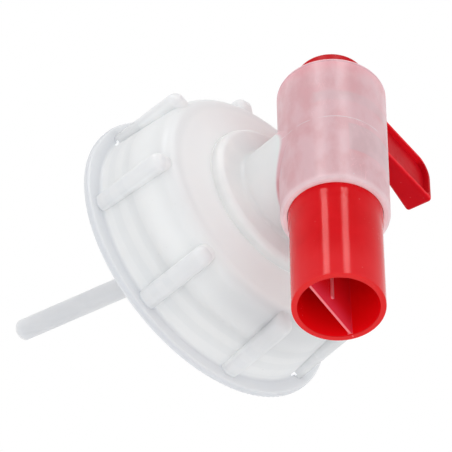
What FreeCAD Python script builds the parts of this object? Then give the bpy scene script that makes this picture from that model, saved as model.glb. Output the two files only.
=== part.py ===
import FreeCAD, Part
import math
import os

# Air-vented water container tap: a screw cap for a wide canister mouth that clamps
# a tap body, and an upright plug tap with a lever on top and a spout below.
# Frame: +Z up, +Y back into the canister, -Y towards the user.
# The origin lies on the cap's axis in the plane of its rear rim.

# Clearances
seat_gap = 0.3           # between faces that are clamped or turn on each other
plug_gap = 0.15          # plug barrel in the housing bore, on the radius
bead_gap = 0.05          # the plug's sealing beads in the bore, on the radius
socket_gap = 0.1         # handle key in the plug's socket
tube_grip_gap = 0.05     # air tube on its nipple, on the radius
thread_gap = 0.3         # container's thread in the cap, on the radius
disc_edge_gap = 0.8      # clamped disc and gasket in the cap, on the radius
opening_gap = 0.15       # boss in the cap's opening, on the radius

# Screw cap
mouth_thread_radius = 35.5
thread_length = 15.5
skirt_wall = 3.1         # at the skirt's foot
skirt_draft = 2.5        # how much narrower the skirt is at its shoulder
skirt_foot_round = 1.0
rim_width = 4.4
rim_thickness = 2.2
rim_round = 0.7
cap_depth = 25.4         # rear rim to the front face at the shoulder
shoulder_round = 4.5
face_rise = 2.5          # the front face slopes forward to its opening by this
face_wall = 1.7
opening_round = 0.3
mouth_step = 2.4         # in from the thread's wall to the seat of the disc

# Grip ribs on the skirt
rib_count = 8
rib_first_angle = 10.0
rib_width = 5.5
rib_foot_height = 2.2
rib_nose_height = 3.9
rib_setback = 0.2
rib_nose_round = 2.8
rib_edge_round = 2.2
rib_root_depth = 0.8

# Seal-wire holes through the rim, each with a groove along its rib
seal_hole_radius = 0.9
seal_hole_out = 0.2      # hole's centre beyond the skirt's foot
seal_groove_length = 9.4
seal_rib_steps = (3, 7)  # which ribs carry them, counted from the first

# Tap body: clamped disc, boss and neck
disc_thickness = 2.4
boss_radius = 22.55
boss_height = 3.2        # beyond the cap's front face at its opening
boss_round = 1.8
boss_wall = 2.5
boss_side_wall = 2.5
neck_radius = 14.4
neck_wall = 2.2
neck_foot_round = 1.2

# Tap body: upright housing
tap_reach = 50.7         # cap's rear rim to the tap's upright axis
housing_bore_radius = 12.6
housing_wall = 1.8       # at the foot
housing_draft = 0.2      # how much wider the housing is at its top
housing_top = 23.4
housing_bottom = -22.6
housing_top_wall = 2.0
housing_edge_round = 0.8
stem_hole_radius = 7.0

# Water way and air way
water_low = -7.0
water_way_height = 10.2
water_window_width = 14.0
way_divider_gap = 1.2    # windows to the divider between the ways
way_divider_thickness = 1.8
air_way_height = 4.0
air_window_width = 9.0
window_round = 1.5
air_end_wall = 1.4       # between the air way's end and the boss's hollow

# Air nipple and tube
tube_radius = 3.0
tube_bore_radius = 2.0
nipple_hole_radius = 1.2
nipple_length = 9.0
tube_bend_radius = 42.0
tube_end_back = 75.2
tube_end_height = 29.1
tube_rise_angle = 19.0

# Mouth gasket
gasket_thickness = 2.0
gasket_width = 4.6

# Plug
lever_turn = 15.8        # lever and divider plate, turned from +X towards the cap
barrel_reach = 3.9       # barrel's foot below the housing
spout_step = 0.25        # barrel to spout, on the radius
spout_step_height = 0.8  # the step is a short cone
spout_length = 29.3
spout_wall = 1.5         # at the mouth
spout_bore_draft = 1.1   # how much narrower the bore is at its top
spout_edge_round = 0.35
port_margin = 0.6        # plug's port beyond the body's window, each side
port_round = 1.6
air_slot_chord = 2.1     # the air slot opens everything in front of this chord
water_roof_gap = 0.7
water_roof_thickness = 1.7
plate_offset = 2.7
plate_recess = 0.7
plate_foot_thickness = 0.6
plate_top_thickness = 1.2
plate_rib_width = 1.1
plate_rib_height = 0.7
plate_rib_shift = 0.3
plate_rib_recess = 5.1   # rib's foot above the spout's mouth

# Fine sealing beads moulded round the barrel
bead_width = 0.8
bead_crest = 0.3
top_bead_depth = 1.0     # below the barrel's top
foot_bead_height = 4.6   # above the housing's foot

# Handle
hub_overlap = 2.55       # hub over the stem's hole, on the radius
hub_height = 7.4
hub_round = 0.9
key_width = 8.4
key_length = 6.8
key_ridge = 0.35
key_ridge_lift = 2.8
socket_floor_gap = 0.4
socket_floor = 1.6
lever_length = 47.8
lever_height = 14.3
lever_root_width = 2.6
lever_tip_width = 7.8
lever_tip_round = 5.6
lever_back = -5.0        # foot of the lever's back edge, on top of the hub
lever_back_top = 4.5
lever_back_round = 4.0
lever_edge_round = 0.9
lever_foot_round = 1.5
tray_rim = 1.5
tray_start = 4.4         # tray's near end beyond the hub
web_root_width = 1.2
web_tip_width = 4.7

# Sizes that follow: cap and clamped disc
thread_root_radius = mouth_thread_radius + thread_gap
skirt_base_radius = thread_root_radius + skirt_wall
skirt_front_radius = skirt_base_radius - skirt_draft
rim_radius = skirt_base_radius + rim_width
rib_base_radius = skirt_base_radius + rib_foot_height
rib_front_radius = skirt_front_radius + rib_nose_height
rib_front = cap_depth - rib_setback
seal_hole_circle_radius = skirt_base_radius + seal_hole_out
mouth_step_radius = thread_root_radius - mouth_step
disc_radius = mouth_step_radius - disc_edge_gap
gasket_inner_radius = disc_radius - gasket_width
face_front = -(cap_depth + face_rise)
opening_radius = boss_radius + opening_gap
cap_inner_face = -(cap_depth - face_wall)
disc_front = cap_inner_face + seat_gap
disc_back = disc_front + disc_thickness
boss_front = face_front - boss_height
boss_floor = boss_front + boss_wall
boss_cavity_radius = boss_radius - boss_side_wall
neck_bore_radius = neck_radius - neck_wall

# Sizes that follow: ways, housing, plug and handle
water_high = water_low + water_way_height
way_divider_low = water_high + way_divider_gap
way_divider_high = way_divider_low + way_divider_thickness
air_low = way_divider_high + way_divider_gap
air_high = air_low + air_way_height
tube_height = way_divider_high + tube_radius
nipple_radius = tube_bore_radius - tube_grip_gap
housing_bottom_radius = housing_bore_radius + housing_wall
housing_top_radius = housing_bottom_radius + housing_draft
barrel_radius = housing_bore_radius - plug_gap
bead_radius = housing_bore_radius - bead_gap
barrel_top = housing_top - housing_top_wall - seat_gap
barrel_foot = housing_bottom - barrel_reach
spout_radius = barrel_radius - spout_step
spout_mouth = barrel_foot - spout_length
spout_bore_radius = spout_radius - spout_wall
plug_bore_top_radius = spout_bore_radius - spout_bore_draft
port_width = water_window_width + 2 * port_margin
water_roof = water_high + water_roof_gap
air_room_low = water_roof + water_roof_thickness
plate_rib_foot = spout_mouth + plate_rib_recess
bead_heights = (barrel_top - top_bead_depth, water_roof, housing_bottom + foot_bead_height)
handle_foot = housing_top + seat_gap
hub_radius = stem_hole_radius + hub_overlap
hub_top = handle_foot + hub_height
stem_radius = stem_hole_radius - seat_gap
key_foot = barrel_top - key_length
key_ridge_height = key_foot + key_ridge_lift
air_room_high = key_foot - socket_floor_gap - socket_floor
lever_top = handle_foot + lever_height
tray_root = hub_radius + tray_start
tap_axis = FreeCAD.Vector(0, -tap_reach, 0)
along_y = FreeCAD.Vector(0, 1, 0)
along_z = FreeCAD.Vector(0, 0, 1)
everything = 200.0
full_turn = 360.0
past_wall = 1.0          # how far a cutting shape runs past the wall it opens
tiny = 1e-3
same_point = 1e-6


def rounded_face(corners, to_point):
    """Face inside an outline of corners (u, v) or (u, v, round)."""
    flat = [FreeCAD.Vector(c[0], c[1], 0) for c in corners]
    edges = []
    starts = []
    ends = []
    for i, corner in enumerate(corners):
        radius = corner[2] if len(corner) > 2 else 0.0
        here = flat[i]
        back = (flat[i - 1] - here).normalize()
        ahead = (flat[(i + 1) % len(flat)] - here).normalize()
        if radius == 0.0:
            starts.append(here)
            ends.append(here)
            edges.append(None)
            continue
        half = back.getAngle(ahead) / 2
        reach = radius / math.tan(half)
        middle_way = (back + ahead).normalize()
        centre = here + middle_way * (radius / math.sin(half))
        starts.append(here + back * reach)
        ends.append(here + ahead * reach)
        edges.append(centre - middle_way * radius)
    outline = []
    for i in range(len(corners)):
        if edges[i] is not None:
            arc = Part.Arc(to_point(starts[i]), to_point(edges[i]), to_point(ends[i]))
            outline.append(arc.toShape())
        following = starts[(i + 1) % len(corners)]
        if ends[i].distanceToPoint(following) > same_point:
            outline.append(Part.makeLine(to_point(ends[i]), to_point(following)))
    return Part.Face(Part.Wire(Part.__sortEdges__(outline)))


def turned_on_cap_axis(corners):
    """Solid of revolution about the cap's axis from (radius, y) corners."""
    face = rounded_face(corners, lambda p: FreeCAD.Vector(p.x, p.y, 0))
    return face.revolve(FreeCAD.Vector(), along_y, full_turn)


def turned_on_tap_axis(corners):
    """Solid of revolution about the tap's axis from (radius, z) corners."""
    face = rounded_face(corners, lambda p: FreeCAD.Vector(p.x, -tap_reach, p.y))
    return face.revolve(tap_axis, along_z, full_turn)


def box(x0, x1, y0, y1, z0, z1):
    return Part.makeBox(x1 - x0, y1 - y0, z1 - z0, FreeCAD.Vector(x0, y0, z0))


def window(width, low, high, radius, y0, y1):
    """Bar along Y with a rounded rectangular section."""
    half = width / 2
    corners = [(-half, low, radius), (half, low, radius), (half, high, radius), (-half, high, radius)]
    face = rounded_face(corners, lambda p: FreeCAD.Vector(p.x, y0, p.y))
    return face.extrude(FreeCAD.Vector(0, y1 - y0, 0))


def on_tap(shape):
    """Move a shape drawn about Z onto the tap's axis, with +X along the lever."""
    moved = shape.copy()
    moved.rotate(FreeCAD.Vector(), along_z, lever_turn)
    moved.translate(tap_axis)
    return moved


# Screw cap

def grip_rib():
    """One rib along +X: a bar with a rounded nose and softened outer edges."""
    corners = [(skirt_base_radius - rib_root_depth, -rim_thickness / 2),
               (rib_base_radius, -rim_thickness / 2),
               (rib_front_radius, -rib_front, rib_nose_round),
               (mouth_step_radius - rib_root_depth, -rib_front),
               (skirt_front_radius - rib_root_depth, shoulder_round - cap_depth)]
    half = rib_width / 2
    face = rounded_face(corners, lambda p: FreeCAD.Vector(p.x, p.y, -half))
    rib = face.extrude(FreeCAD.Vector(0, 0, rib_width))
    soft = [e for e in rib.Edges if is_outer_rib_edge(e, half)]
    return rib.makeFillet(rib_edge_round, soft)


def is_outer_rib_edge(edge, half):
    """Long outer edge or nose edge on either flank of the rib."""
    middle = edge.valueAt((edge.FirstParameter + edge.LastParameter) / 2)
    on_flank = abs(abs(middle.z) - half) < tiny
    outer_line = rib_front_radius - rib_nose_round / 2
    return on_flank and middle.x > outer_line and middle.y < -rim_thickness / 2 - tiny


def seal_wire_cut(angle):
    """Hole through the rim that runs on as an open groove along the rib."""
    hole = Part.makeCylinder(seal_hole_radius, seal_groove_length,
                             FreeCAD.Vector(seal_hole_circle_radius, -seal_groove_length, 0), along_y)
    groove = box(seal_hole_circle_radius, rim_radius, -seal_groove_length, -rim_thickness,
                 -seal_hole_radius, seal_hole_radius)
    cut = hole.fuse(groove)
    cut.rotate(FreeCAD.Vector(), along_y, -angle)
    return cut


def screw_cap():
    step_back = -(thread_length + thread_root_radius - mouth_step_radius)
    shell = turned_on_cap_axis([
        (thread_root_radius, 0, rim_round),
        (rim_radius, 0, rim_round),
        (rim_radius, -rim_thickness, rim_round),
        (skirt_base_radius, -rim_thickness, skirt_foot_round),
        (skirt_front_radius, -cap_depth, shoulder_round),
        (opening_radius, face_front, opening_round),
        (opening_radius, cap_inner_face),
        (mouth_step_radius, cap_inner_face, seat_gap),
        (mouth_step_radius, step_back),
        (thread_root_radius, -thread_length)])
    rib = grip_rib()
    pitch = full_turn / rib_count
    for i in range(rib_count):
        turned = rib.copy()
        turned.rotate(FreeCAD.Vector(), along_y, -(rib_first_angle + i * pitch))
        shell = shell.fuse(turned)
    for step in seal_rib_steps:
        shell = shell.cut(seal_wire_cut(rib_first_angle + step * pitch))
    return shell.removeSplitter()


# Tap body

def housing_shell():
    return turned_on_tap_axis([
        (0, housing_bottom),
        (housing_bottom_radius, housing_bottom, housing_edge_round),
        (housing_top_radius, housing_top, housing_edge_round),
        (0, housing_top)])


def body_disc_and_neck():
    return turned_on_cap_axis([
        (0, -tap_reach),
        (neck_radius, -tap_reach),
        (neck_radius, boss_front, neck_foot_round),
        (boss_radius, boss_front, boss_round),
        (boss_radius, disc_front, seat_gap),
        (disc_radius, disc_front, seat_gap),
        (disc_radius, disc_back),
        (boss_cavity_radius, disc_back, seat_gap),
        (boss_cavity_radius, boss_floor, boss_round),
        (0, boss_floor)])


def neck_ways():
    """Water way below the divider and air way above it, up to the housing's wall."""
    bore = Part.makeCylinder(neck_bore_radius, tap_reach,
                             FreeCAD.Vector(0, -tap_reach, 0), along_y)
    wall = Part.makeCylinder(housing_bottom_radius, everything,
                             tap_axis - along_z * (everything / 2), along_z)
    open_bore = bore.cut(wall)
    water = open_bore.common(box(-everything, everything, -tap_reach, boss_floor + past_wall,
                                 -everything, way_divider_low))
    air = open_bore.common(box(-everything, everything, -tap_reach, boss_floor - air_end_wall,
                               way_divider_high, everything))
    return water.fuse(air)


def bore_windows():
    """The two holes in the bore's wall that the plug's ports meet."""
    reach = -tap_reach + housing_top_radius + past_wall
    water = window(water_window_width, water_low, water_high, window_round, -tap_reach, reach)
    air = window(air_window_width, air_low, air_high, window_round, -tap_reach, reach)
    return water.fuse(air)


def air_nipple():
    foot = FreeCAD.Vector(0, boss_floor - air_end_wall, tube_height)
    return Part.makeCylinder(nipple_radius, nipple_length + air_end_wall, foot, along_y)


def tap_body():
    body = body_disc_and_neck().fuse(housing_shell())
    bore = turned_on_tap_axis([
        (0, housing_bottom),
        (housing_bore_radius, housing_bottom),
        (housing_bore_radius, housing_top - housing_top_wall),
        (stem_hole_radius, housing_top - housing_top_wall),
        (stem_hole_radius, housing_top),
        (0, housing_top)])
    body = body.cut(neck_ways())
    body = body.fuse(air_nipple())
    body = body.cut(bore)
    body = body.cut(bore_windows())
    start = boss_floor - air_end_wall - past_wall
    hole = Part.makeCylinder(nipple_hole_radius, everything,
                             FreeCAD.Vector(0, start, tube_height), along_y)
    return body.cut(hole).removeSplitter()


def mouth_gasket():
    return turned_on_cap_axis([
        (gasket_inner_radius, disc_back),
        (disc_radius, disc_back),
        (disc_radius, disc_back + gasket_thickness),
        (gasket_inner_radius, disc_back + gasket_thickness)])


# Air tube

def air_tube():
    """Straight off the nipple, one gentle bend, then straight up to its end."""
    rise = math.radians(tube_rise_angle)
    half_turn = rise / 2
    start = FreeCAD.Vector(0, boss_floor + seat_gap, tube_height)
    end = FreeCAD.Vector(0, tube_end_back, tube_end_height)
    corner_back = tube_end_back - (tube_end_height - tube_height) / math.tan(rise)
    corner = FreeCAD.Vector(0, corner_back, tube_height)
    uphill = FreeCAD.Vector(0, math.cos(rise), math.sin(rise))
    reach = tube_bend_radius * math.tan(half_turn)
    bend_start = corner - along_y * reach
    bend_end = corner + uphill * reach
    to_middle = FreeCAD.Vector(0, math.sin(half_turn), 1 - math.cos(half_turn))
    bend_middle = bend_start + to_middle * tube_bend_radius
    path = Part.Wire([Part.makeLine(start, bend_start),
                      Part.Arc(bend_start, bend_middle, bend_end).toShape(),
                      Part.makeLine(bend_end, end)])
    return swept_disc(path, start, tube_radius).cut(swept_disc(path, start, tube_bore_radius))


def swept_disc(path, start, radius):
    ring = Part.Wire([Part.makeCircle(radius, start, along_y)])
    return path.makePipeShell([ring], True, True)


# Plug

def plug_skin():
    return turned_on_tap_axis([
        (0, spout_mouth),
        (spout_radius, spout_mouth, spout_edge_round),
        (spout_radius, barrel_foot - spout_step_height / 2, spout_step_height),
        (barrel_radius, barrel_foot + spout_step_height / 2, spout_step_height),
        (barrel_radius, barrel_top, housing_edge_round),
        (0, barrel_top)])


def seal_bead(height):
    foot = bead_width / 2
    crest = bead_crest / 2
    root = barrel_radius - bead_width
    return turned_on_tap_axis([
        (root, height - foot),
        (barrel_radius, height - foot),
        (bead_radius, height - crest),
        (bead_radius, height + crest),
        (barrel_radius, height + foot),
        (root, height + foot)])


def spout_bore():
    """Tapered bore up to the roof of the air room, about Z."""
    length = air_room_low - spout_mouth
    return Part.makeCone(spout_bore_radius, plug_bore_top_radius, length,
                         FreeCAD.Vector(0, 0, spout_mouth), along_z)


def divider_plate():
    """Upright plate across the spout that thins towards the mouth."""
    foot = spout_mouth + plate_recess
    foot_half = plate_foot_thickness / 2
    top_half = plate_top_thickness / 2
    section = rounded_face([(plate_offset - foot_half, foot), (plate_offset + foot_half, foot),
                            (plate_offset + top_half, air_room_low),
                            (plate_offset - top_half, air_room_low)],
                           lambda p: FreeCAD.Vector(-everything / 2, p.x, p.y))
    return section.extrude(FreeCAD.Vector(everything, 0, 0))


def plate_rib():
    """Slim upright rib with a rounded foot on the plate's water side."""
    half = plate_rib_width / 2
    back = plate_offset
    front = plate_offset - plate_foot_thickness / 2 - plate_rib_height
    bar = box(plate_rib_shift - half, plate_rib_shift + half, front, back,
              plate_rib_foot, air_room_low)
    foot = Part.makeCylinder(half, back - front,
                             FreeCAD.Vector(plate_rib_shift, front, plate_rib_foot), along_y)
    return bar.fuse(foot)


def plug_rooms():
    """Everything hollow inside the plug, drawn about Z with +X along the lever."""
    spout = spout_bore().cut(divider_plate()).cut(plate_rib())
    roof = box(-everything, everything, -everything, plate_offset, water_roof, air_room_low)
    rooms = spout.cut(roof)
    air_room = Part.makeCylinder(plug_bore_top_radius, air_room_high - air_room_low,
                                 FreeCAD.Vector(0, 0, air_room_low), along_z)
    rooms = rooms.fuse(air_room)
    rooms = rooms.fuse(window(port_width, water_low, water_high, port_round, -everything, 0))
    slot = box(-everything, everything, -everything, -air_slot_chord, air_low, air_high)
    return rooms.fuse(slot)


def plug():
    body = plug_skin()
    for height in bead_heights:
        body = body.fuse(seal_bead(height))
    body = body.cut(on_tap(plug_rooms()))
    return body.cut(on_tap(key_bar(key_width / 2 + socket_gap, socket_floor_gap))).removeSplitter()


# Handle

def key_bar(half, deeper):
    """Square key with a snap ridge on two sides, about Z."""
    low = key_foot - deeper
    high = handle_foot if deeper == 0 else barrel_top + past_wall
    bar = box(-half, half, -half, half, low, high)
    ridge_half = key_ridge + deeper / 2
    ridge_tip = half + key_ridge
    ridge = rounded_face([(-ridge_tip, key_ridge_height),
                          (-half, key_ridge_height - ridge_half),
                          (half, key_ridge_height - ridge_half),
                          (ridge_tip, key_ridge_height),
                          (half, key_ridge_height + ridge_half),
                          (-half, key_ridge_height + ridge_half)],
                         lambda p: FreeCAD.Vector(-half, p.x, p.y))
    return bar.fuse(ridge.extrude(FreeCAD.Vector(2 * half, 0, 0)))


def lever_blade():
    """Side outline of the lever, drawn out to a blade that widens to its tip."""
    side = rounded_face([(lever_back, handle_foot + hub_round),
                         (lever_back, hub_top),
                         (lever_back_top, lever_top, lever_back_round),
                         (lever_length, lever_top, lever_tip_round),
                         (lever_length, handle_foot, lever_foot_round),
                         (0, handle_foot),
                         (0, handle_foot + hub_round)],
                        lambda p: FreeCAD.Vector(p.x, -everything / 2, p.y))
    slab = side.extrude(FreeCAD.Vector(0, everything, 0))
    wedge = lever_plan(hub_radius, lever_root_width, lever_tip_width)
    blade = slab.common(wedge)
    rim = [e for e in blade.Edges if is_blade_side_edge(e)]
    return blade.makeFillet(lever_edge_round, rim)


def lever_plan(root, root_width, tip_width):
    """Upright bar, even as far as its root and then widening to the lever's tip."""
    low = handle_foot - past_wall
    back = lever_back - past_wall
    near = root_width / 2
    far = tip_width / 2
    plan = rounded_face([(back, -near), (root, -near), (lever_length, -far),
                         (lever_length, far), (root, near), (back, near)],
                        lambda p: FreeCAD.Vector(p.x, p.y, low))
    return plan.extrude(FreeCAD.Vector(0, 0, lever_top + past_wall - low))


def is_blade_side_edge(edge):
    """Edge along the blade's flank, clear of the hub."""
    middle = edge.valueAt((edge.FirstParameter + edge.LastParameter) / 2)
    along = (middle.x - hub_radius) / (lever_length - hub_radius)
    half_width = (lever_root_width + (lever_tip_width - lever_root_width) * along) / 2
    return middle.x > hub_radius + tiny and abs(abs(middle.y) - half_width) < tiny


def lever_trays():
    """Shallow tray in each flank, inside a rim of even width."""
    inner_tip = lever_tip_round - tray_rim
    outline = rounded_face([(tray_root, handle_foot + tray_rim, tray_rim),
                            (tray_root, lever_top - tray_rim, tray_rim),
                            (lever_length - tray_rim, lever_top - tray_rim, inner_tip),
                            (lever_length - tray_rim, handle_foot + tray_rim, tray_rim)],
                           lambda p: FreeCAD.Vector(p.x, -everything / 2, p.y))
    slab = outline.extrude(FreeCAD.Vector(0, everything, 0))
    return slab.cut(lever_plan(tray_root, web_root_width, web_tip_width))


def handle():
    hub = turned_on_tap_axis([
        (0, handle_foot),
        (hub_radius, handle_foot, hub_round),
        (hub_radius, hub_top, hub_round),
        (0, hub_top)])
    stem = turned_on_tap_axis([
        (0, barrel_top),
        (stem_radius, barrel_top),
        (stem_radius, handle_foot + hub_round),
        (0, handle_foot + hub_round)])
    blade = lever_blade().cut(lever_trays())
    parts = hub.fuse([stem, on_tap(blade), on_tap(key_bar(key_width / 2, 0))])
    return parts.removeSplitter()


os.makedirs("parts", exist_ok=True)
solids = {
    "screw_cap": screw_cap(),
    "tap_body": tap_body(),
    "mouth_gasket": mouth_gasket(),
    "air_tube": air_tube(),
    "plug": plug(),
    "handle": handle(),
}
for name, shape in solids.items():
    shape.exportStep(f"parts/{name}.step")
    size = shape.BoundBox
    print(name, "solids", len(shape.Solids), "valid", shape.isValid(), "volume", round(shape.Volume, 1),
          "box", round(size.XLength, 2), round(size.YLength, 2), round(size.ZLength, 2))
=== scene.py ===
import bpy
import math
from mathutils import Matrix, Vector


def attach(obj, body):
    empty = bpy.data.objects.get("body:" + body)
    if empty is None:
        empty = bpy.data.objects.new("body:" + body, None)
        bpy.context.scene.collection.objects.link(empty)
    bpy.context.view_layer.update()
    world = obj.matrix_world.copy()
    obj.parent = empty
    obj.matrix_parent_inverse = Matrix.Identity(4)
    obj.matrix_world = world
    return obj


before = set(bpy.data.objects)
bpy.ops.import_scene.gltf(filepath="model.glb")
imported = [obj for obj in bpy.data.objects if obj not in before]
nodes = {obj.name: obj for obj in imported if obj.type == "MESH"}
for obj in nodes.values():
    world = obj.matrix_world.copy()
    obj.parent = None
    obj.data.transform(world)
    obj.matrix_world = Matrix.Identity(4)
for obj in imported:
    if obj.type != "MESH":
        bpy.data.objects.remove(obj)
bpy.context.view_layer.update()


# Screw cap
# A wide ring of milky unpigmented polyethylene, injection moulded in one with its
# ribs, rim and thread. It clamps the tap body's disc against the canister's mouth.

mm = 0.001
opening_radius = 22.75 * mm
face_front = -27.9 * mm
face_radius = 30.5 * mm
shoulder_back = -18 * mm
skirt_radius = 36.7 * mm
rim_front = -3.2 * mm
rib_first_angle = math.radians(10)
rib_pitch = math.radians(45)
rib_half_width = 2.75 * mm
thread_pitch = 5.0 * mm
thread_first = 3.4 * mm
thread_middle = -8.5 * mm
thread_half_length = 5 * mm
seal_angle = math.radians(145)
seal_hole_out = 38.7 * mm
seal_hole_aside = 3.3 * mm
seal_hole_middle = -2.71 * mm
seal_hole_half_width = 1.0 * mm
seal_hole_half_depth = 0.8 * mm
seal_hole_half_height = 0.28 * mm
wire_way_middle = -7 * mm
wire_way_half_length = 3.8 * mm
shade_starts = 16 * mm
shade_is_full = 36 * mm
cap_roughness = 0.36
gap_glow = 0.24
seal_hole_glow = 0.45

cap_wall = (0.82, 0.835, 0.845, 1)
cap_cloud = (0.855, 0.865, 0.87, 1)
rim_painted_shade = (0.57, 0.59, 0.625, 1)
face_painted_light = (0.895, 0.90, 0.90, 1)
shoulder_painted_shade = (0.785, 0.795, 0.805, 1)
near_tap_painted_light = (0.89, 0.905, 0.905, 1)
rib_painted_shade = (0.745, 0.755, 0.77, 1)
shade_grey = (0.66, 0.67, 0.685, 1)
ridge_painted_shade = (0.56, 0.60, 0.64, 1)
speck_grey = (0.55, 0.55, 0.54, 1)
wire_way_painted_shade = (0.66, 0.67, 0.69, 1)
no_light = (0, 0, 0, 1)
glow_white = (0.80, 0.80, 0.80, 1)


def new_group(name, inputs, outputs):
    """A node group with named number inputs, each with its usual value, and outputs."""
    group = bpy.data.node_groups.new(name, "ShaderNodeTree")
    for label, value in inputs:
        socket = group.interface.new_socket(label, in_out="INPUT", socket_type="NodeSocketFloat")
        socket.default_value = value
    for label in outputs:
        group.interface.new_socket(label, in_out="OUTPUT", socket_type="NodeSocketFloat")
    return group


def feed(tree, value, socket):
    """Link a socket's value to another socket, or set it there."""
    if isinstance(value, bpy.types.NodeSocket):
        tree.links.new(value, socket)
    else:
        socket.default_value = value


def add(tree, kind, sockets=None, **settings):
    """A new node with its settings made and its sockets fed."""
    node = tree.nodes.new(kind)
    for key, value in settings.items():
        setattr(node, key, value)
    for key, value in (sockets or {}).items():
        feed(tree, value, node.inputs[key])
    return node


def maths(tree, operation, *values):
    """The result of one sum on sockets and numbers."""
    node = add(tree, "ShaderNodeMath", operation=operation)
    for socket, value in zip(node.inputs, values):
        feed(tree, value, socket)
    return node.outputs[0]


def times(tree, first, *others):
    """The product of all the values."""
    for other in others:
        first = maths(tree, "MULTIPLY", first, other)
    return first


def raised(tree, start, *masks):
    """A start value with more, or less, on top where each mask is."""
    for mask, more in masks:
        start = maths(tree, "MULTIPLY_ADD", mask, more, start)
    return start


def ramp(tree, value, low, high, to_low=0.0, to_high=1.0):
    """Smooth step of a value between low and high."""
    return add(tree, "ShaderNodeMapRange", {"Value": value, "From Min": low, "From Max": high,
                                            "To Min": to_low, "To Max": to_high},
               interpolation_type="SMOOTHSTEP").outputs["Result"]


def fade(tree, value, low, high, full=1.0):
    """Full up to low, falling to 0 at high."""
    return ramp(tree, value, low, high, full, 0.0)


def band(tree, value, middle, half, soft):
    """1 within half of the middle, falling to 0 over the soft width."""
    away = maths(tree, "ABSOLUTE", maths(tree, "SUBTRACT", value, middle))
    return fade(tree, away, half, half + soft)


def mix(tree, share, first, second):
    """The first colour where the share is 0, and the second where it is 1."""
    node = add(tree, "ShaderNodeMix", data_type="RGBA")
    for index, value in ((0, share), (6, first), (7, second)):
        feed(tree, value, node.inputs[index])
    return node.outputs[2]


def coated(tree, colour, *coats):
    """A colour with other colours over it in turn, each where its mask is."""
    for mask, coat in coats:
        colour = mix(tree, mask, colour, coat)
    return colour


def place(tree):
    """The point on the piece, and its three coordinates."""
    position = add(tree, "ShaderNodeTexCoord").outputs["Object"]
    split = add(tree, "ShaderNodeSeparateXYZ", {"Vector": position})
    return (position, *split.outputs)


def off_axis(tree, first, second):
    """The distance from an axis, worked out from the two coordinates across it."""
    return maths(tree, "SQRT", maths(tree, "ADD", times(tree, first, first),
                                     times(tree, second, second)))


def far_from(tree, position, spot):
    """The distance from one spot on the piece."""
    return add(tree, "ShaderNodeVectorMath", {0: position, 1: spot},
               operation="DISTANCE").outputs["Value"]


def turned_by(tree, first, second, angle):
    """Two coordinates, measured along and across a line turned by the angle."""
    cosine, sine = math.cos(angle), math.sin(angle)
    return (maths(tree, "ADD", times(tree, first, cosine), times(tree, second, sine)),
            maths(tree, "SUBTRACT", times(tree, second, cosine), times(tree, first, sine)))


def noise(tree, position, scale, detail=2.0, stretch=(1, 1, 1)):
    """Soft noise on the piece, drawn out where a stretch is under 1."""
    moved = add(tree, "ShaderNodeMapping", {"Vector": position, "Scale": stretch})
    return add(tree, "ShaderNodeTexNoise",
               {"Vector": moved.outputs[0], "Scale": scale, "Detail": detail}).outputs[0]


def moulded_haze():
    """Cloudy wall, flow streaks and skin of moulded plastic."""
    tree = new_group("moulded_haze", [("Cloud Scale", 80.0), ("Streak Scale", 300.0)],
                     ["Cloud", "Streak", "Skin"])
    given = tree.nodes.new("NodeGroupInput").outputs
    results = tree.nodes.new("NodeGroupOutput").inputs
    position = place(tree)[0]
    flow = (1, 0.12, 1)
    wave_scale, grain_scale, grain_share = 320.0, 2600.0, 0.25
    cloud = noise(tree, position, given["Cloud Scale"], 3.0)
    streak = noise(tree, position, given["Streak Scale"], 2.0, flow)
    waves = noise(tree, position, wave_scale)
    grain = times(tree, noise(tree, position, grain_scale, 1.0), grain_share)
    feed(tree, ramp(tree, cloud, 0.3, 0.7), results["Cloud"])
    feed(tree, ramp(tree, streak, 0.35, 0.65), results["Streak"])
    feed(tree, maths(tree, "ADD", grain, waves), results["Skin"])
    return tree


def handling_marks():
    """Hair scratches and small specks, in loose patches."""
    tree = new_group("handling_marks", [("Clean Share", 0.5)], ["Scratch", "Speck"])
    given = tree.nodes.new("NodeGroupInput").outputs
    results = tree.nodes.new("NodeGroupOutput").inputs
    position = place(tree)[0]
    patch_scale, hair_scale, speck_scale = 90.0, 900.0, 700.0
    hair_ways = ((1.0, 0.08, 0.35), (0.1, 1.0, 0.25), (0.6, 0.5, 0.06))
    hair_half_width, hair_edge = 0.001, 0.006
    bare_cells = 0.86
    patch = ramp(tree, noise(tree, position, patch_scale), given["Clean Share"], 0.75)
    scratch = 0.0
    for way in hair_ways:
        hair = noise(tree, position, hair_scale, 1.0, way)
        hair = band(tree, hair, 0.5, hair_half_width, hair_edge)
        scratch = maths(tree, "MAXIMUM", hair, scratch)
    cells = add(tree, "ShaderNodeTexVoronoi", {"Vector": position, "Scale": speck_scale})
    colour = add(tree, "ShaderNodeSeparateXYZ", {"Vector": cells.outputs["Color"]})
    chosen = maths(tree, "GREATER_THAN", colour.outputs[0], bare_cells)
    speck = times(tree, fade(tree, cells.outputs["Distance"], 0.08, 0.22), chosen)
    feed(tree, times(tree, scratch, patch), results["Scratch"])
    feed(tree, times(tree, speck, patch), results["Speck"])
    return tree


haze = moulded_haze()
marks = handling_marks()


def effect(tree, group, **values):
    """The outputs of one of the groups, placed with its own values."""
    node = add(tree, "ShaderNodeGroup", node_tree=group)
    for key, value in values.items():
        node.inputs[key.replace("_", " ")].default_value = value
    return node.outputs


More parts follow.
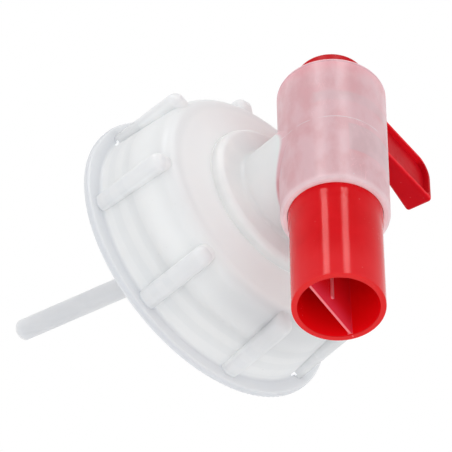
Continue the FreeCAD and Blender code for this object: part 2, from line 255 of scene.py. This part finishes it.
def plastic(name, subsurface=0.0, depth=0.0, spread=(1, 1, 1), gloss=0.5):
    """A new material, its node tree and its shader."""
    material = bpy.data.materials.new(name)
    material.use_nodes = True
    tree = material.node_tree
    shader = tree.nodes["Principled BSDF"]
    shader.inputs["IOR"].default_value = 1.5
    shader.inputs["Specular IOR Level"].default_value = gloss
    shader.inputs["Subsurface Weight"].default_value = subsurface
    shader.inputs["Subsurface Scale"].default_value = depth
    shader.inputs["Subsurface Radius"].default_value = spread
    return material, tree, shader


def finish_skin(tree, shader, colour, rough, skin, strength, relief, facing=None):
    """Give the shader its colour, its roughness and the fine relief of its skin."""
    feed(tree, colour, shader.inputs["Base Color"])
    feed(tree, rough, shader.inputs["Roughness"])
    bump = add(tree, "ShaderNodeBump", {"Strength": strength, "Distance": relief,
                                        "Height": skin})
    if facing:
        feed(tree, facing, bump.inputs["Normal"])
    feed(tree, bump.outputs[0], shader.inputs["Normal"])


def paint_glow(tree, shader, light):
    """Paint light into the shader: a glow of the given colour, standing in for light that comes
    through its wall.
    """
    feed(tree, light, shader.inputs["Emission Color"])
    shader.inputs["Emission Strength"].default_value = 1.0


cap_milk, tree, shader = plastic("cap_milky_polyethylene", subsurface=1.0, depth=6 * mm,
                                 spread=(1.0, 0.97, 0.94), gloss=0.12)
position, x, y, z = place(tree)
wall = effect(tree, haze, Cloud_Scale=70.0, Streak_Scale=250.0)
wear = effect(tree, marks, Clean_Share=0.5)
from_axis = off_axis(tree, x, z)
round_cap = maths(tree, "DIVIDE", maths(tree, "ARCTAN2", z, x), 2 * math.pi)

# Painted shade greys the rim and the shoulder; painted light makes the face, and the part near
# the tap, paler.
on_rim = ramp(tree, y, rim_front, rim_front + 1.6 * mm)
on_face = times(tree, fade(tree, y, -24 * mm, shoulder_back, 0.55),
                fade(tree, from_axis, face_radius, face_radius + 2.5 * mm))
on_shoulder = times(tree, fade(tree, y, -23 * mm, shoulder_back),
                    ramp(tree, from_axis, face_radius + 0.5 * mm, face_radius + 3.5 * mm))
under_tap = far_from(tree, position, (0, face_front, face_front))
near_tap = fade(tree, under_tap, 10 * mm, 34 * mm)

# Painted shade: the ribs are painted greyer than the wall, and so is the side that lies low on
# the right.
rib_turn = maths(tree, "MULTIPLY_ADD", round_cap, 2 * math.pi / rib_pitch,
                 0.5 - rib_first_angle / rib_pitch)
from_rib = maths(tree, "MULTIPLY_ADD", maths(tree, "FRACT", rib_turn), rib_pitch,
                 -rib_pitch / 2)
from_rib = maths(tree, "ABSOLUTE", times(tree, from_rib, from_axis))
on_rib = times(tree, fade(tree, from_rib, rib_half_width - 0.3 * mm, rib_half_width + 0.1 * mm),
               ramp(tree, from_axis, skirt_radius, skirt_radius + 0.6 * mm),
               fade(tree, y, rim_front, rim_front + 0.8 * mm))
low_right = maths(tree, "SUBTRACT", times(tree, x, 0.34), times(tree, z, 0.94))
shaded = times(tree, ramp(tree, low_right, shade_starts, shade_is_full),
               fade(tree, y, -20 * mm, -6 * mm), ramp(tree, from_axis, 33 * mm, 36 * mm))

# Painted shade: faint grey lines where the thread lies behind the skirt, and grey bands along the
# ways of the seal wire.
along = maths(tree, "DIVIDE", maths(tree, "ADD", y, thread_first), thread_pitch)
turn = maths(tree, "FRACT", maths(tree, "ADD", maths(tree, "ADD", along, round_cap), 0.5))
on_ridge = times(tree, band(tree, turn, 0.5, 0.2, 0.1),
                 band(tree, y, thread_middle, thread_half_length, 1 * mm))
outward, aside = turned_by(tree, x, z, seal_angle)
at_hole = times(tree, band(tree, maths(tree, "ABSOLUTE", outward), seal_hole_out,
                           seal_hole_half_depth, 0.2 * mm),
                band(tree, aside, seal_hole_aside, seal_hole_half_width, 0.1 * mm))
wire_way = times(tree, at_hole,
                 band(tree, y, wire_way_middle, wire_way_half_length, 0.3 * mm))

milk = coated(tree, mix(tree, wall["Cloud"], cap_wall, cap_cloud),
              (on_rim, rim_painted_shade),
              (on_face, face_painted_light),
              (on_shoulder, shoulder_painted_shade),
              (near_tap, near_tap_painted_light),
              (on_rib, rib_painted_shade),
              (shaded, shade_grey),
              (times(tree, on_ridge, 0.1), ridge_painted_shade),
              (times(tree, wear["Speck"], 0.5), speck_grey),
              (times(tree, wire_way, 0.35), wire_way_painted_shade))
rough = raised(tree, cap_roughness, (wall["Streak"], 0.08), (wear["Scratch"], 0.15))
finish_skin(tree, shader, milk, rough, wall["Skin"], strength=0.25, relief=0.12 * mm)

# Painted light: the gap round the boss and the two seal-wire holes glow, as if light came through
# them.
glowing_gap = times(tree, fade(tree, from_axis, opening_radius, opening_radius + 0.25 * mm, gap_glow),
               ramp(tree, y, face_front + 0.1 * mm, face_front + 0.4 * mm))
glowing_hole = times(tree, at_hole, band(tree, y, seal_hole_middle, seal_hole_half_height,
                                         0.1 * mm), seal_hole_glow)
paint_glow(tree, shader, mix(tree, maths(tree, "MAXIMUM", glowing_gap, glowing_hole), no_light,
                              glow_white))
nodes["screw_cap"].material_slots[0].material = cap_milk


# Inner thread of the cap
# Two turns of a blunt ridge inside the skirt, moulded in one with the cap, that screw
# onto the canister's wide mouth. Both ends run out into the wall.

ridge_root = 36.1 * mm
ridge_crest = 34.1 * mm
ridge_foot = 2.7 * mm
ridge_top = 1.2 * mm
ridge_turns = 2.1
ridge_steps = 128
run_out_steps = 8
run_out_depth = 0.8
smooth_angle = math.radians(35)


def choose(piece, kind, wanted):
    """In edit mode, select the vertices, edges or faces that are wanted, and no others."""
    bpy.ops.object.mode_set(mode="EDIT")
    bpy.ops.mesh.select_mode(type=kind)
    bpy.ops.mesh.select_all(action="DESELECT")
    bpy.ops.object.mode_set(mode="OBJECT")
    mesh = piece.data
    parts = {"VERT": mesh.vertices, "EDGE": mesh.edges, "FACE": mesh.polygons}[kind]
    for part in parts:
        part.select = bool(wanted(part))
    bpy.ops.object.mode_set(mode="EDIT")


def seat(piece, body, material):
    """Apply the piece's place to its mesh, round its shading and fix it to its body."""
    bpy.ops.object.mode_set(mode="OBJECT")
    bpy.ops.object.transform_apply(location=True, rotation=True, scale=True)
    bpy.ops.object.shade_smooth_by_angle(angle=smooth_angle)
    piece.data.materials.clear()
    piece.data.materials.append(material)
    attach(piece, body)


# The ridge's section stands beside the thread's axis, is drawn round it as a helix,
# and sinks into the wall over the last steps at both ends.
bpy.ops.object.select_all(action="DESELECT")
bpy.ops.mesh.primitive_plane_add(size=1, location=(0, 0, 0))
cap_thread = bpy.context.object
cap_thread.name = "cap_thread"
bpy.ops.object.mode_set(mode="EDIT")
ridge_middle = ((ridge_root + ridge_crest) / 2, 0, thread_first)
bpy.ops.transform.resize(value=(ridge_root - ridge_crest, ridge_foot, 1))
bpy.ops.transform.rotate(value=math.pi / 2, orient_axis="X", center_override=(0, 0, 0))
bpy.ops.transform.translate(value=ridge_middle)
choose(cap_thread, "VERT", lambda v: v.co.x < ridge_middle[0])
bpy.ops.transform.resize(value=(1, 1, ridge_top / ridge_foot), center_override=ridge_middle)
choose(cap_thread, "FACE", lambda f: True)
bpy.ops.mesh.delete(type="ONLY_FACE")
bpy.ops.object.mode_set(mode="OBJECT")
helix = cap_thread.modifiers.new("helix", "SCREW")
helix.axis = "Z"
helix.angle = 2 * math.pi * ridge_turns
helix.screw_offset = thread_pitch * ridge_turns
helix.steps = helix.render_steps = ridge_steps
bpy.ops.object.modifier_apply(modifier="helix")
for step in range(run_out_steps):
    sunk = (ridge_root - ridge_crest) * (1 - step / run_out_steps) * run_out_depth
    for ring in (step, ridge_steps - step):
        ring_angle = 2 * math.pi * ridge_turns * ring / ridge_steps
        choose(cap_thread, "VERT", lambda v: v.index // 4 == ring
               and math.hypot(v.co.x, v.co.y) < ridge_middle[0])
        bpy.ops.transform.translate(
            value=(sunk * math.cos(ring_angle), sunk * math.sin(ring_angle), 0))
choose(cap_thread, "VERT", lambda v: True)
bpy.ops.mesh.fill_holes(sides=4)
bpy.ops.mesh.normals_make_consistent(inside=False)
bpy.ops.object.mode_set(mode="OBJECT")
cap_thread.rotation_euler = (math.pi / 2, 0, 0)
seat(cap_thread, "cap", cap_milk)


# Tap body
# Clamped disc, boss, neck and upright housing in one milky moulding. The thin housing
# lies close round the red plug, which shows through it as a mottled pink.

tap_reach = 50.7 * mm
housing_reach = 14.9 * mm
housing_foot = -22.6 * mm
housing_top = 23.4 * mm
bore_reach = 13.0 * mm
port_angle = math.radians(16)
port_half_angle = math.radians(42)
port_height = -6.4 * mm
port_half_height = 4.6 * mm
slot_half_angle = math.radians(76)
slot_height = 8.9 * mm
slot_half_height = 1.0 * mm
bead_height = 0.7 * mm
mottle_scale = 190.0
mottle_stretch = (1, 1, 0.6)
tap_roughness = 0.30
body_cover = 0.96
housing_cover = 0.85

body_wall = (0.75, 0.755, 0.76, 1)
body_cloud = (0.82, 0.815, 0.81, 1)
neck_painted_light = (0.85, 0.885, 0.885, 1)
pink_pale = (0.885, 0.525, 0.565, 1)
pink_deep = (0.915, 0.47, 0.505, 1)
pink_top = (0.85, 0.41, 0.455, 1)
top_edge_painted_shade = (0.70, 0.38, 0.43, 1)
port_painted_shade = (0.82, 0.54, 0.575, 1)
pink_inside = (0.78, 0.50, 0.54, 1)
pink_foot = (0.89, 0.58, 0.615, 1)
bead_pale = (0.95, 0.80, 0.83, 1)
speck_pale = (0.88, 0.82, 0.84, 1)
foot_lip_glow = (0.27, 0.17, 0.175, 1)


def from_upright(tree, x, y):
    """How far back a point lies from the tap's upright axis, and how far off it."""
    back = maths(tree, "ADD", y, tap_reach)
    return back, off_axis(tree, x, back)


tap_milk, tree, shader = plastic("tap_milky_polyethylene", subsurface=0.9, depth=6 * mm,
                                 spread=(1.0, 0.95, 0.92), gloss=0.12)
position, x, y, z = place(tree)
wall = effect(tree, haze, Cloud_Scale=110.0, Streak_Scale=320.0)
wear = effect(tree, marks, Clean_Share=0.45)
back, reach = from_upright(tree, x, y)
on_housing = fade(tree, reach, housing_reach, housing_reach + 0.6 * mm)

# The red plug shows through the housing. Painted shade makes it greyer over the port and the air
# slot, where the plug has no wall, and draws a dark line just under the housing's top.
touching = noise(tree, position, mottle_scale, 6.0, mottle_stretch)
mottle = ramp(tree, touching, 0.38, 0.66)
round_tap = maths(tree, "ARCTAN2", x, times(tree, back, -1.0))
at_port = times(tree, band(tree, round_tap, port_angle, port_half_angle, math.radians(3)),
                band(tree, z, port_height, port_half_height, 0.8 * mm))
at_slot = times(tree, band(tree, round_tap, port_angle, slot_half_angle, math.radians(8)),
                band(tree, z, slot_height, slot_half_height, 1.6 * mm))
blush_and_painted_shade = coated(tree, mix(tree, mottle, pink_pale, pink_deep),
               (ramp(tree, z, housing_top - 6 * mm, housing_top - 1 * mm, 0.0, 0.6), pink_top),
               (maths(tree, "MAXIMUM", at_port, times(tree, at_slot, 0.6)), port_painted_shade),
               (band(tree, z, housing_top - 1.1 * mm, 0.1 * mm, 0.25 * mm), top_edge_painted_shade))

# The housing's bore, its pale foot, and the line where a bead of the plug presses on it.
in_bore = times(tree, on_housing, fade(tree, reach, bore_reach, bore_reach + 0.6 * mm),
                ramp(tree, z, housing_foot + 0.05 * mm, housing_foot + 0.4 * mm))
at_foot = times(tree, on_housing, fade(tree, z, housing_foot + 0.1 * mm, housing_foot + 2.4 * mm))
bead_line = times(tree, band(tree, z, bead_height, 0.08 * mm, 0.12 * mm),
                  ramp(tree, noise(tree, position, 150.0), 0.36, 0.54),
                  maths(tree, "SUBTRACT", on_housing, in_bore))

# Painted light makes the neck paler close to the housing.
milk = coated(tree, mix(tree, wall["Cloud"], body_wall, body_cloud),
              (fade(tree, reach, 14 * mm, 34 * mm, 0.8), neck_painted_light),
              (on_housing, blush_and_painted_shade),
              (in_bore, pink_inside),
              (at_foot, pink_foot),
              (times(tree, bead_line, 0.8), bead_pale),
              (times(tree, wear["Speck"], 0.5), speck_pale))
rough = raised(tree, tap_roughness, (wall["Streak"], 0.08), (wear["Scratch"], 0.2))
finish_skin(tree, shader, milk, rough, wall["Skin"], strength=0.2, relief=0.1 * mm)

# The wall covers more where it is seen edge on, at the foot and along scratches.
facing_away = add(tree, "ShaderNodeLayerWeight", {"Blend": 0.5}).outputs["Facing"]
edge_on = maths(tree, "POWER", facing_away, 2.5)
cover = raised(tree, housing_cover, (mottle, -0.08), (in_bore, -0.27), (edge_on, 0.12),
               (at_foot, 0.10), (wear["Scratch"], 0.12))
cover = maths(tree, "MINIMUM", cover, 1.0)
alpha = add(tree, "ShaderNodeMix", {0: on_housing, 2: body_cover, 3: cover}, data_type="FLOAT")
feed(tree, alpha.outputs[0], shader.inputs["Alpha"])

# Painted light: the gap round the boss and the lip of the housing's foot glow, as if light came
# through them.
glowing_gap = times(tree, ramp(tree, off_axis(tree, x, z), opening_radius - 0.4 * mm,
                          opening_radius - 0.25 * mm, 0.0, gap_glow),
               ramp(tree, y, face_front + 0.1 * mm, face_front + 0.4 * mm))
glowing_foot_lip = times(tree, fade(tree, reach, 12.7 * mm, 14.4 * mm),
                 fade(tree, z, housing_foot + 0.1 * mm, housing_foot + 0.9 * mm))
paint_glow(tree, shader, coated(tree, no_light, (glowing_gap, glow_white), (glowing_foot_lip, foot_lip_glow)))
nodes["tap_body"].material_slots[0].material = tap_milk


# Mouth gasket
# A flat ring of pale rubber, cut from sheet, that lies on the body's disc and seals
# the canister's mouth. It is held by the cap alone.

rubber_roughness = 0.62
rubber_plain = (0.50, 0.49, 0.46, 1)
rubber_cloud = (0.58, 0.57, 0.54, 1)
rubber_speck = (0.35, 0.34, 0.32, 1)

gasket_rubber, tree, shader = plastic("gasket_pale_rubber")
wall = effect(tree, haze, Cloud_Scale=160.0, Streak_Scale=700.0)
wear = effect(tree, marks, Clean_Share=0.4)
rubber = coated(tree, mix(tree, wall["Cloud"], rubber_plain, rubber_cloud),
                (times(tree, wear["Speck"], 0.6), rubber_speck))
rough = raised(tree, rubber_roughness, (wall["Streak"], 0.15))
finish_skin(tree, shader, rubber, rough, wall["Skin"], strength=0.5, relief=0.2 * mm)
nodes["mouth_gasket"].material_slots[0].material = gasket_rubber


# Air tube
# A stiff drawn polyethylene tube pushed over the body's nipple. It keeps a gentle
# bend, so that its open end stands in the air above the water.

tube_roughness = 0.34
tube_plain = (0.68, 0.695, 0.725, 1)
tube_cloud = (0.715, 0.725, 0.75, 1)
tube_speck = (0.5, 0.5, 0.5, 1)

tube_milk, tree, shader = plastic("tube_drawn_polyethylene", subsurface=0.8, depth=3 * mm,
                                  spread=(1.0, 0.97, 0.94), gloss=0.35)
wall = effect(tree, haze, Cloud_Scale=90.0, Streak_Scale=500.0)
wear = effect(tree, marks, Clean_Share=0.42)
milk = coated(tree, mix(tree, wall["Cloud"], tube_plain, tube_cloud),
              (times(tree, wear["Speck"], 0.4), tube_speck))
rough = raised(tree, tube_roughness, (wall["Streak"], 0.1), (wear["Scratch"], 0.2))
finish_skin(tree, shader, milk, rough, wall["Skin"], strength=0.2, relief=0.1 * mm)
nodes["air_tube"].material_slots[0].material = tube_milk


# Plug
# Barrel and spout in one glossy red moulding that turns in the housing. Its divider
# plate keeps the air drawn in apart from the water that runs out.

spout_mouth = -55.8 * mm
spout_step = -26.6 * mm
spout_bore = 11.2 * mm
lever_turn = math.radians(15.8)
plate_offset = 2.7 * mm
plate_half_thickness = 0.62 * mm
plate_rib_beside, plate_rib_across = 0.3 * mm, 1.7 * mm
seam_beside, seam_across = 10.8 * mm, 2.25 * mm
scuffed_spot = (-11.8 * mm, -54 * mm, -47.5 * mm)
step_half_height = 0.5 * mm
step_eased = 0.85
plug_roughness = 0.1

plug_wall = (0.64, 0.004, 0.008, 1)
plug_cloud = (0.69, 0.007, 0.012, 1)
spout_pale = (0.78, 0.030, 0.036, 1)
bore_painted_light_red = (0.93, 0.004, 0.008, 1)
plate_painted_sheen = (0.98, 0.06, 0.12, 1)
plate_edge_red = (0.96, 0.22, 0.25, 1)
plate_rib_pink = (0.99, 0.36, 0.42, 1)
seam_red = (0.98, 0.18, 0.22, 1)
mouth_highlight_red = (0.80, 0.06, 0.05, 1)
nick_pink = (0.85, 0.40, 0.36, 1)
sent_on_pale = (0.66, 0.62, 0.62, 1)
red_spread = (1.0, 0.1, 0.06)
red_shine = (1.0, 0.42, 0.38, 1)

plug_red, tree, shader = plastic("plug_red_plastic", subsurface=0.2, depth=2 * mm,
                                 spread=red_spread, gloss=0.07)
position, x, y, z = place(tree)
wall = effect(tree, haze, Cloud_Scale=140.0, Streak_Scale=420.0)
wear = effect(tree, marks, Clean_Share=0.5)
back, reach = from_upright(tree, x, y)
# Painted light: the bore inside the spout is painted a brighter red than the outside.
in_spout = times(tree, fade(tree, reach, spout_bore, spout_bore + 0.4 * mm),
                 ramp(tree, z, spout_mouth + 0.05 * mm, spout_mouth + 0.5 * mm))
outside = maths(tree, "SUBTRACT", 1.0, in_spout)

# In the spout: the divider plate with its edge, the small rib on it, and the seam
# where it meets the wall. The plate is painted paler towards the mouth, a painted sheen.
beside, across = turned_by(tree, x, back, lever_turn)
on_plate = times(tree, band(tree, across, plate_offset, plate_half_thickness, 0.08 * mm),
                 in_spout,
                 ramp(tree, z, spout_mouth + 0.55 * mm, spout_mouth + 0.65 * mm))
plate_lit = times(tree, on_plate,
                  ramp(tree, z, spout_mouth + 1.2 * mm, spout_mouth + 8.8 * mm, 1.0, 0.3))
plate_edge = times(tree, on_plate,
                   fade(tree, z, spout_mouth + 0.75 * mm, spout_mouth + 0.95 * mm))
plate_rib = times(tree, band(tree, beside, plate_rib_beside, 0.58 * mm, 0.1 * mm),
                  band(tree, across, plate_rib_across, 0.4 * mm, 0.1 * mm))
seam = times(tree, band(tree, beside, seam_beside, 0.25 * mm, 0.1 * mm),
             band(tree, across, seam_across, 0.14 * mm, 0.08 * mm))

# Outside: a painted highlight along the edge of the mouth, and small nicks that crowd at one
# scuffed spot.
mouth_highlight = times(tree, band(tree, z, spout_mouth, 0.15 * mm, 0.3 * mm), 0.25)
scuffs = effect(tree, marks, Clean_Share=0.05)["Speck"]
near_scuff = fade(tree, far_from(tree, position, scuffed_spot), 3 * mm, 6 * mm, 0.8)
nicks = maths(tree, "MAXIMUM", times(tree, wear["Speck"], 0.5), times(tree, scuffs, near_scuff))

# Diffuse light that the spout sends on is paler than red, so that it leaves no tint
# on the cap and the table.
sent_on = add(tree, "ShaderNodeLightPath").outputs["Is Diffuse Ray"]
sent_on = times(tree, sent_on, outside,
                fade(tree, z, housing_foot - 1.5 * mm, housing_foot, 0.75))

red = coated(tree, mix(tree, wall["Cloud"], plug_wall, plug_cloud),
             (fade(tree, z, spout_mouth + 4 * mm, spout_mouth + 16 * mm, 0.6), spout_pale),
             (in_spout, bore_painted_light_red),
             (plate_lit, plate_painted_sheen),
             (plate_edge, plate_edge_red),
             (plate_rib, plate_rib_pink),
             (seam, seam_red),
             (mouth_highlight, mouth_highlight_red),
             (nicks, nick_pink),
             (sent_on, sent_on_pale))
rough = raised(tree, plug_roughness, (wall["Streak"], 0.04), (wear["Scratch"], 0.25))

# The low step from barrel to spout is shaded almost as if the wall ran straight on.
straight = add(tree, "ShaderNodeCombineXYZ", {"X": x, "Y": back}).outputs[0]
straight = add(tree, "ShaderNodeVectorMath", {0: straight}, operation="NORMALIZE").outputs[0]
straight = add(tree, "ShaderNodeVectorTransform", {"Vector": straight}, vector_type="NORMAL",
               convert_from="OBJECT", convert_to="WORLD").outputs[0]
eased = times(tree, band(tree, z, spout_step, step_half_height, 0.15 * mm), step_eased,
              outside)
as_built = add(tree, "ShaderNodeNewGeometry").outputs["Normal"]
facing = add(tree, "ShaderNodeMix", {0: eased, 4: as_built, 5: straight},
             data_type="VECTOR").outputs[1]
finish_skin(tree, shader, red, rough, wall["Skin"], strength=0.12, relief=0.06 * mm,
            facing=facing)
shader.inputs["Specular Tint"].default_value = red_shine
nodes["plug"].material_slots[0].material = plug_red


# Handle
# Hub and lever in one red moulding. Its square key snaps into the plug's socket
# through the hole in the housing's top.

lever_foot = 23.7 * mm
lower_rim = lever_foot + 1.0 * mm
upper_rim = lever_foot + 12.3 * mm
lever_roughness = 0.36

lever_wall = (0.53, 0.002, 0.008, 1)
lever_cloud = (0.58, 0.004, 0.011, 1)
lever_rim_painted_light = (0.80, 0.010, 0.020, 1)
lever_nick = (0.85, 0.35, 0.32, 1)

handle_red, tree, shader = plastic("handle_red_plastic", subsurface=0.2, depth=2 * mm,
                                   spread=red_spread, gloss=0.06)
x, y, z = place(tree)[1:]
wall = effect(tree, haze, Cloud_Scale=120.0, Streak_Scale=380.0)
wear = effect(tree, marks, Clean_Share=0.44)
reach = from_upright(tree, x, y)[1]

# Painted light: the lever's lower and upper rims are painted a lighter red than its flanks.
on_rims = maths(tree, "MAXIMUM", band(tree, z, lower_rim, 0.3 * mm, 0.5 * mm),
                ramp(tree, z, upper_rim, upper_rim + 0.6 * mm))
on_rims = times(tree, on_rims, ramp(tree, reach, 11 * mm, 13 * mm))
red = coated(tree, mix(tree, wall["Cloud"], lever_wall, lever_cloud),
             (on_rims, lever_rim_painted_light),
             (times(tree, wear["Speck"], 0.4), lever_nick))
rough = raised(tree, lever_roughness, (wall["Streak"], 0.08), (wear["Scratch"], 0.25))
finish_skin(tree, shader, red, rough, wall["Skin"], strength=0.2, relief=0.1 * mm)
shader.inputs["Specular Tint"].default_value = red_shine
nodes["handle"].material_slots[0].material = handle_red


# Table under the tap
# A plain pale sheet just below the spout's mouth, seen from above only, so that a
# view from below looks past it.

table_width = 8
table_gap = 0.4 * mm
board_white = (0.9, 0.9, 0.9, 1)

bpy.ops.object.select_all(action="DESELECT")
bpy.ops.mesh.primitive_plane_add(size=table_width, location=(0, 0, spout_mouth - table_gap))
table = bpy.context.object
table.name = "table_top"
table_white = bpy.data.materials.new("table_pale_board")
table_white.use_nodes = True
tree = table_white.node_tree
tree.nodes.clear()
seen = add(tree, "ShaderNodeLightPath").outputs["Is Camera Ray"]
from_below = add(tree, "ShaderNodeNewGeometry").outputs["Backfacing"]
shown = times(tree, seen, maths(tree, "SUBTRACT", 1.0, from_below))
board = add(tree, "ShaderNodeBsdfDiffuse", {"Color": board_white})
clear = add(tree, "ShaderNodeBsdfTransparent")
sheet = add(tree, "ShaderNodeMixShader", {0: shown, 1: clear.outputs[0], 2: board.outputs[0]})
add(tree, "ShaderNodeOutputMaterial", {"Surface": sheet.outputs[0]})
table.data.materials.append(table_white)


# Studio
# White surroundings and a plain even level of light. Two tall soft boxes high up draw
# the upright stripes on the spout, and two broad ones fill the front and the underside.

white_level = 1.0
light_level = 0.92
stripe = {"elevation": 46, "distance": 1.1, "width": 0.2, "height": 0.7, "power": 7.5}
fill_distance = 1.6
fill_size = 1.3

scene = bpy.context.scene
world = bpy.data.worlds.new("white_studio")
scene.world = world
world.use_nodes = True
tree = world.node_tree
background = tree.nodes["Background"]
background.inputs["Color"].default_value = (1, 1, 1, 1)
ray = add(tree, "ShaderNodeLightPath").outputs
white = maths(tree, "MAXIMUM", ray["Is Camera Ray"], ray["Is Glossy Ray"])
white = maths(tree, "MAXIMUM", white, ray["Is Transmission Ray"])
level = add(tree, "ShaderNodeMix", {0: white, 2: light_level, 3: white_level},
            data_type="FLOAT")
feed(tree, level.outputs[0], background.inputs["Strength"])


def soft_box(name, azimuth, elevation, distance, width, height, power):
    """A soft box that faces the tap from an azimuth (0 in front) and an elevation."""
    turn, rise = math.radians(azimuth), math.radians(elevation)
    aim = Vector((0, -tap_reach, -20 * mm))
    away = Vector((math.sin(turn) * math.cos(rise), -math.cos(turn) * math.cos(rise),
                   math.sin(rise)))
    data = bpy.data.lights.new(name, "AREA")
    data.shape = "RECTANGLE"
    data.size, data.size_y = width, height
    data.energy = power
    lamp = bpy.data.objects.new(name, data)
    scene.collection.objects.link(lamp)
    lamp.location = aim + away * distance
    lamp.rotation_mode = "QUATERNION"
    lamp.rotation_quaternion = away.to_track_quat("Z", "Y")
    return lamp


for name, azimuth in (("stripe_left", -71), ("stripe_right", -22)):
    soft_box(name, azimuth, **stripe).visible_diffuse = False
for name, azimuth, elevation, power in (("fill_front", -60, 15, 1.0),
                                        ("fill_below", -50, -55, 2.0)):
    soft_box(name, azimuth, elevation, fill_distance, fill_size, fill_size, power)


# Camera
# The photograph's view, from the front left and below, worked out for a square
# frame from the outlines of the cap, housing, spout and tube.

azimuth, below, roll = (math.radians(value) for value in (43.037, 46.199, -0.650))
camera_place = Vector((-563.35, -612.28, -854.29)) * mm
film_width = 36
focal_length = 352.58

ahead = Vector((math.sin(azimuth) * math.cos(below), math.cos(azimuth) * math.cos(below),
                math.sin(below)))
level_right = Vector((math.cos(azimuth), -math.sin(azimuth), 0))
level_up = level_right.cross(ahead)
right = level_right * math.cos(roll) + level_up * math.sin(roll)
up = level_up * math.cos(roll) - level_right * math.sin(roll)
camera_data = bpy.data.cameras.new("photo_camera")
camera_data.sensor_width = film_width
camera_data.lens = focal_length
camera = bpy.data.objects.new("photo_camera", camera_data)
scene.collection.objects.link(camera)
facing_photo = Matrix((right, up, -ahead)).transposed().to_4x4()
camera.matrix_world = Matrix.Translation(camera_place) @ facing_photo
scene.camera = camera
scene.view_settings.view_transform = "Standard"
